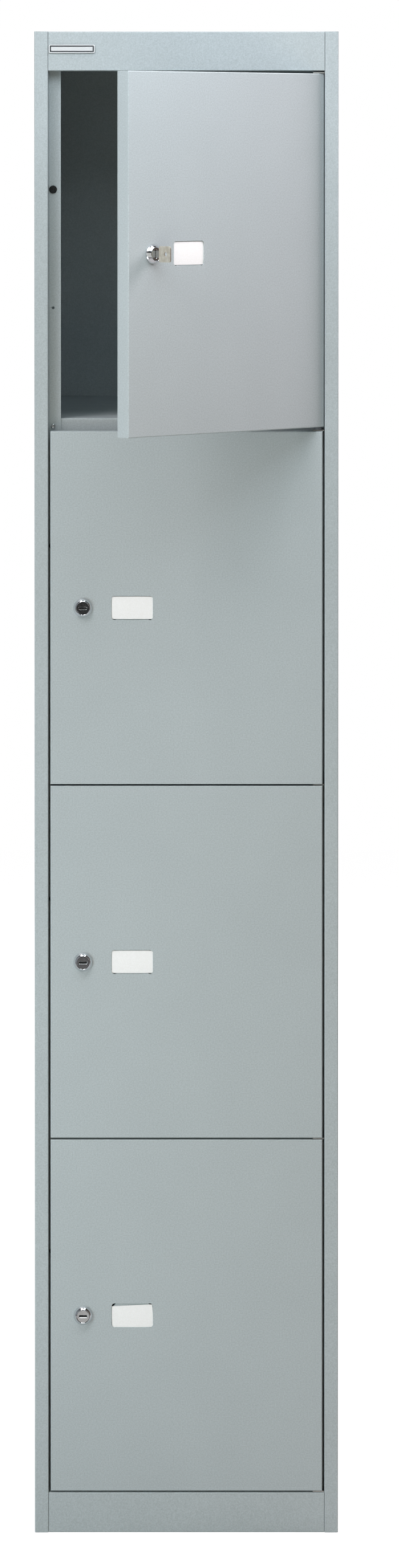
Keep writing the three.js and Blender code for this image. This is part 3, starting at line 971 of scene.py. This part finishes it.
def lock_barrel(number):
    """The lock's shell: a domed, chromed head outside and a threaded barrel inside."""
    inner = math.asin(BORE / DOME_RADIUS)
    outer = math.acos((DOME_CENTRE + DOME_RIM) / DOME_RADIUS)
    profile = [
        (BORE, -LOCK_HEAD + MOUTH_DEPTH), (BORE, -LOCK_HEAD + MOUTH_EASE), (BORE + MOUTH_EASE, -LOCK_HEAD),
    ]
    for i in range(1, DOME_STEPS + 1):
        angle = inner + (outer - inner) * i / DOME_STEPS
        profile.append((DOME_RADIUS * math.sin(angle), DOME_CENTRE - DOME_RADIUS * math.cos(angle)))
    rim = DOME_RADIUS * math.sin(outer)
    profile += [(rim + 0.05, -0.5), (rim - 0.1, -0.05), (BARREL, -0.05)]
    y = THREAD_FROM
    while y < BARREL_END - THREAD_PITCH:
        profile += [(BARREL - THREAD_DEPTH, y), (BARREL, y + THREAD_PITCH / 2)]
        y += THREAD_PITCH
    profile += [(BARREL - 0.6, BARREL_END), (BORE, BARREL_END)]
    bm = bmesh.new()
    add_turned(bm, profile, 64)
    obj = made(f"lock_{number}_shell", bm, CHROME)
    node = f"lock_{number}_barrel"
    return placed(obj, f"door_{number}", node, place=lock_place(number), slot="chrome")


def lock_nut(number):
    """The six-sided nut behind the skin."""
    near = SHEET + GAP
    bore = circle((0, 0), BARREL + 0.1, 48)
    bm = bmesh.new()
    add_prism(bm, circle((0, 0), NUT_RADIUS, 6), near, near + NUT_THICK, ALONG_Y, holes=[bore])
    obj = made(f"lock_{number}_ring_nut", bm, ZINC, edge=0.35)
    node = f"lock_{number}_nut"
    return placed(obj, f"door_{number}", node, place=lock_place(number), slot="zinc_steel")


def lock_plug(number, upright):
    """The plug: a nickel face with a chamfered keyway in it, and the square tail at the back."""
    face = GAP - LOCK_HEAD
    end = face + KEYWAY_DEEP
    long, thick = KEYWAY_LONG + 2 * KEYWAY_CHAMFER, KEYWAY_THICK + 2 * KEYWAY_CHAMFER
    bm = bmesh.new()
    front = ring(bm, circle((0, 0), PLUG, 48), face, ALONG_Y)
    back = ring(bm, circle((0, 0), PLUG, 48), end, ALONG_Y)
    mouth = ring(bm, rectangle(long, thick, KEYWAY_CORNER + KEYWAY_CHAMFER, 3), face, ALONG_Y)
    keyway = rectangle(KEYWAY_LONG, KEYWAY_THICK, KEYWAY_CORNER, 3)
    throat = ring(bm, keyway, face + KEYWAY_CHAMFER, ALONG_Y)
    bottom = ring(bm, keyway, end, ALONG_Y)
    for first, second in ((front, back), (mouth, throat), (throat, bottom)):
        bridge(bm, first, second)
    fill(bm, [front, mouth])
    fill(bm, [back, bottom])
    add_prism(bm, circle((0, 0), PLUG, 48), end + 0.1, BARREL_END - GAP, ALONG_Y)
    add_prism(bm, rectangle(2 * TAIL, 2 * TAIL, 0.4, 2), BARREL_END - GAP, TONGUE_FAR + 0.2, ALONG_Y)
    obj = made(f"lock_{number}_core", bm, NICKEL, edge=0.12)
    node = f"lock_{number}_plug"
    return placed(obj, f"lock_{number}", node, place=lock_place(number, upright), slot="chrome")


def lock_shutter_painted_shade(number):
    """The shutter inside an empty keyway, made black: painted shade that stands in for the dark depth of
    the keyway.
    """
    face = GAP - LOCK_HEAD
    bm = bmesh.new()
    long, thick = KEYWAY_LONG - SHUTTER_FIT, KEYWAY_THICK - SHUTTER_FIT
    outline = rectangle(long, thick, KEYWAY_CORNER - SHUTTER_FIT, 3)
    add_prism(bm, outline, face + SHUTTER_FROM, face + SHUTTER_TO, ALONG_Y)
    # Painted shade: the black rubber gives the shutter the darkness of the deep keyway, not a colour of its
    # own.
    obj = made(f"lock_{number}_shutter", bm, RUBBER, edge=0.1)
    return placed(obj, f"lock_{number}", place=lock_place(number), slot="black_rubber")


def lock_tongue(number):
    """The flat tongue, with a round end and a square hole."""
    top = arc((0, 0), TONGUE_HALF + TONGUE_SHOULDER, -35, 215, 24)
    middle = TONGUE_FOOT - TONGUE_REACH
    foot = rectangle(2 * TONGUE_HALF, 2 * TONGUE_FOOT, TONGUE_CORNER, 4, centre=(0, middle))
    outline = top + [point for point in foot if point.y < middle]
    hole = rectangle(2 * TAIL + GAP, 2 * TAIL + GAP)
    bm = bmesh.new()
    add_prism(bm, outline, TONGUE_NEAR, TONGUE_FAR, ALONG_Y, holes=[hole])
    obj = made(f"lock_{number}_bolt", bm, ZINC, edge=0.25)
    node = f"lock_{number}_tongue"
    return placed(obj, f"lock_{number}", node, place=lock_place(number), slot="zinc_steel")


def tongue_screw(number):
    """The screw that holds the tongue on, with a round head and a cross recess."""
    back = TONGUE_FAR + HEAD_FROM
    bm = bmesh.new()
    base, top = circle((0, 0), HEAD_RADIUS, 32), circle((0, 0), HEAD_RADIUS - HEAD_STEP, 32)
    recess = cross(CROSS_REACH, CROSS_HALF)
    add_prism(bm, base, back, back + HEAD_BASE, ALONG_Y)
    add_prism(bm, top, back + HEAD_BASE, back + HEAD_TOP, ALONG_Y, holes=[recess])
    obj = made(f"lock_{number}_bolt_screw", bm, ZINC, edge=0.2)
    node = f"lock_{number}_tongue_screw"
    return placed(obj, f"lock_{number}", node, place=lock_place(number), slot="zinc_steel")


def key_blade():
    """The key's polished blade, with the cuts for the lock's wafers along its top."""
    start, tip = -LOCK_HEAD - KEY_NECK - 0.6, KEY_BLADE - LOCK_HEAD
    blade = [(start, -KEY_TALL), (start, KEY_TALL), (0, KEY_TALL)]
    for cut, depth in enumerate(KEY_CUTS):
        middle = KEY_FIRST_CUT + KEY_CUT_PITCH * cut
        low = KEY_TALL - depth
        blade += [(middle - KEY_CUT_HALF, low), (middle + KEY_CUT_HALF, low)]
        blade.append((middle + KEY_CUT_END, KEY_TALL))
    blade += [(tip, 1.0), (tip, -1.5), (tip - KEY_TIP, -KEY_TALL)]
    half = KEY_THICK / 2 - 0.1
    bm = bmesh.new()
    add_prism(bm, blade, -half, half, ALONG_X)
    obj = made("key_blade", bm, NICKEL, edge=0.15)
    return placed(obj, "key", place=lock_place(1), slot="key_metal")


def key():
    """The key's square bow, with a hole for a ring."""
    bow_middle = -LOCK_HEAD - KEY_NECK - KEY_BOW / 2
    bow = rectangle(KEY_BOW, KEY_BOW, KEY_CORNER, 5, centre=(bow_middle, 0))
    hole = circle((bow_middle - KEY_HOLE_OFF, 0), KEY_HOLE, 28)
    bm = bmesh.new()
    add_prism(bm, bow, -KEY_THICK / 2, KEY_THICK / 2, ALONG_X, holes=[hole])
    obj = made("key_bow", bm, KEY_METAL, edge=0.22)
    return placed(obj, "key", "key", place=lock_place(1), slot="key_metal")


# --- Parts kept from the frame ----------------------------------------------------------------------------


def dressed(node, material, edge):
    """Gives a CAD node its finish, and eases its edges."""
    obj = nodes[node]
    softened(obj, edge)
    obj.data.materials.clear()
    obj.data.materials.append(material)


# --- Room, light and camera -------------------------------------------------------------------------------


def room():
    """A plain white floor, just below the locker. It glows to the camera alone, and stays pale in shade."""
    bm = bmesh.new()
    bmesh.ops.create_grid(bm, x_segments=8, y_segments=8, size=FLOOR_REACH)
    mesh = bpy.data.meshes.new("floor")
    bm.to_mesh(mesh)
    bm.free()
    floor = bpy.data.objects.new("floor", mesh)
    floor.location.z = -FLOOR_DROP
    bpy.context.scene.collection.objects.link(floor)
    material, shader = new_material("white floor", FLOOR_COLOUR, 0.9)
    tree = material.node_tree
    ray = tree.nodes.new("ShaderNodeLightPath")
    glow = tree.nodes.new("ShaderNodeMath")
    glow.operation = "MULTIPLY"
    glow.inputs[1].default_value = FLOOR_GLOW
    tree.links.new(ray.outputs["Is Camera Ray"], glow.inputs[0])
    tree.links.new(glow.outputs["Value"], shader.inputs["Emission Strength"])
    shader.inputs["Emission Color"].default_value = (1, 1, 1, 1)
    shader.inputs["Specular IOR Level"].default_value = 0.0
    mesh.materials.append(material)


def sky():
    """A room that is white to the camera, and dim to everything else, brightest on the left."""
    world = bpy.data.worlds.new("studio")
    world.use_nodes = True
    tree = world.node_tree
    background = tree.nodes["Background"]
    direction = tree.nodes.new("ShaderNodeTexCoord")
    split = tree.nodes.new("ShaderNodeSeparateXYZ")
    across = tree.nodes.new("ShaderNodeMapRange")
    room = tree.nodes.new("ShaderNodeValToRGB")
    ray = tree.nodes.new("ShaderNodeLightPath")
    seen = tree.nodes.new("ShaderNodeMix")
    across.inputs["From Min"].default_value = -1
    room.color_ramp.elements[0].color = ROOM_LEFT
    room.color_ramp.elements[1].color = ROOM_RIGHT
    for position in (0.35, 0.65):
        room.color_ramp.elements.new(position).color = ROOM_FRONT
    seen.data_type = "RGBA"
    seen.inputs["B"].default_value = (1, 1, 1, 1)
    tree.links.new(direction.outputs["Generated"], split.inputs["Vector"])
    tree.links.new(split.outputs["X"], across.inputs["Value"])
    tree.links.new(across.outputs["Result"], room.inputs["Fac"])
    tree.links.new(room.outputs["Color"], seen.inputs["A"])
    tree.links.new(ray.outputs["Is Camera Ray"], seen.inputs["Factor"])
    tree.links.new(seen.outputs["Result"], background.inputs["Color"])
    bpy.context.scene.world = world


def area_light(name, place, target, size, power, colour, in_metal):
    data = bpy.data.lights.new(name, "AREA")
    data.size = size
    data.energy = power
    data.color = colour
    light = bpy.data.objects.new(name, data)
    light.location = place
    light.rotation_euler = (Vector(target) - Vector(place)).to_track_quat("-Z", "Y").to_euler()
    light.visible_glossy = in_metal
    bpy.context.scene.collection.objects.link(light)


def camera():
    data = bpy.data.cameras.new("camera")
    data.lens = CAMERA_LENS
    data.sensor_width = SENSOR
    data.shift_x = SHIFT_X
    data.shift_y = SHIFT_Y
    data.clip_end = 100
    cam = bpy.data.objects.new("camera", data)
    cam.location = (0, FRONT * MM - CAMERA_DISTANCE, CAMERA_HEIGHT)
    cam.rotation_euler = (math.pi / 2 - CAMERA_PITCH, 0, 0)
    bpy.context.scene.collection.objects.link(cam)
    bpy.context.scene.camera = cam


# --- Everything together ----------------------------------------------------------------------------------

camera()
sky()
room()
for name, settings in LIGHTS.items():
    area_light(name, *settings)

side("left_side", -1)
side("right_side", 1)
back_panel()
roof()
plinth()
badge()
for node in TRAYS:
    tray(node)
dressed("base_stiffener", PAINT, 0.3)
dressed("hinge_washer", NYLON, 0.2)
for number in range(1, 6):
    dressed(f"hinge_plate_{number}", ZINC, 0.15)
for number in DOORS:
    door_stop(number)
    shelf_screw(number)
    door_panel(number)
    door_stiffener(number)
    name_card(number)
    lock_barrel(number)
    lock_nut(number)
    lock_plug(number, upright=number == 1)
    lock_tongue(number)
    if number > 1:
        lock_shutter_painted_shade(number)
    tongue_screw(number)
key()
key_blade()

bpy.context.scene.view_settings.view_transform = "Standard"
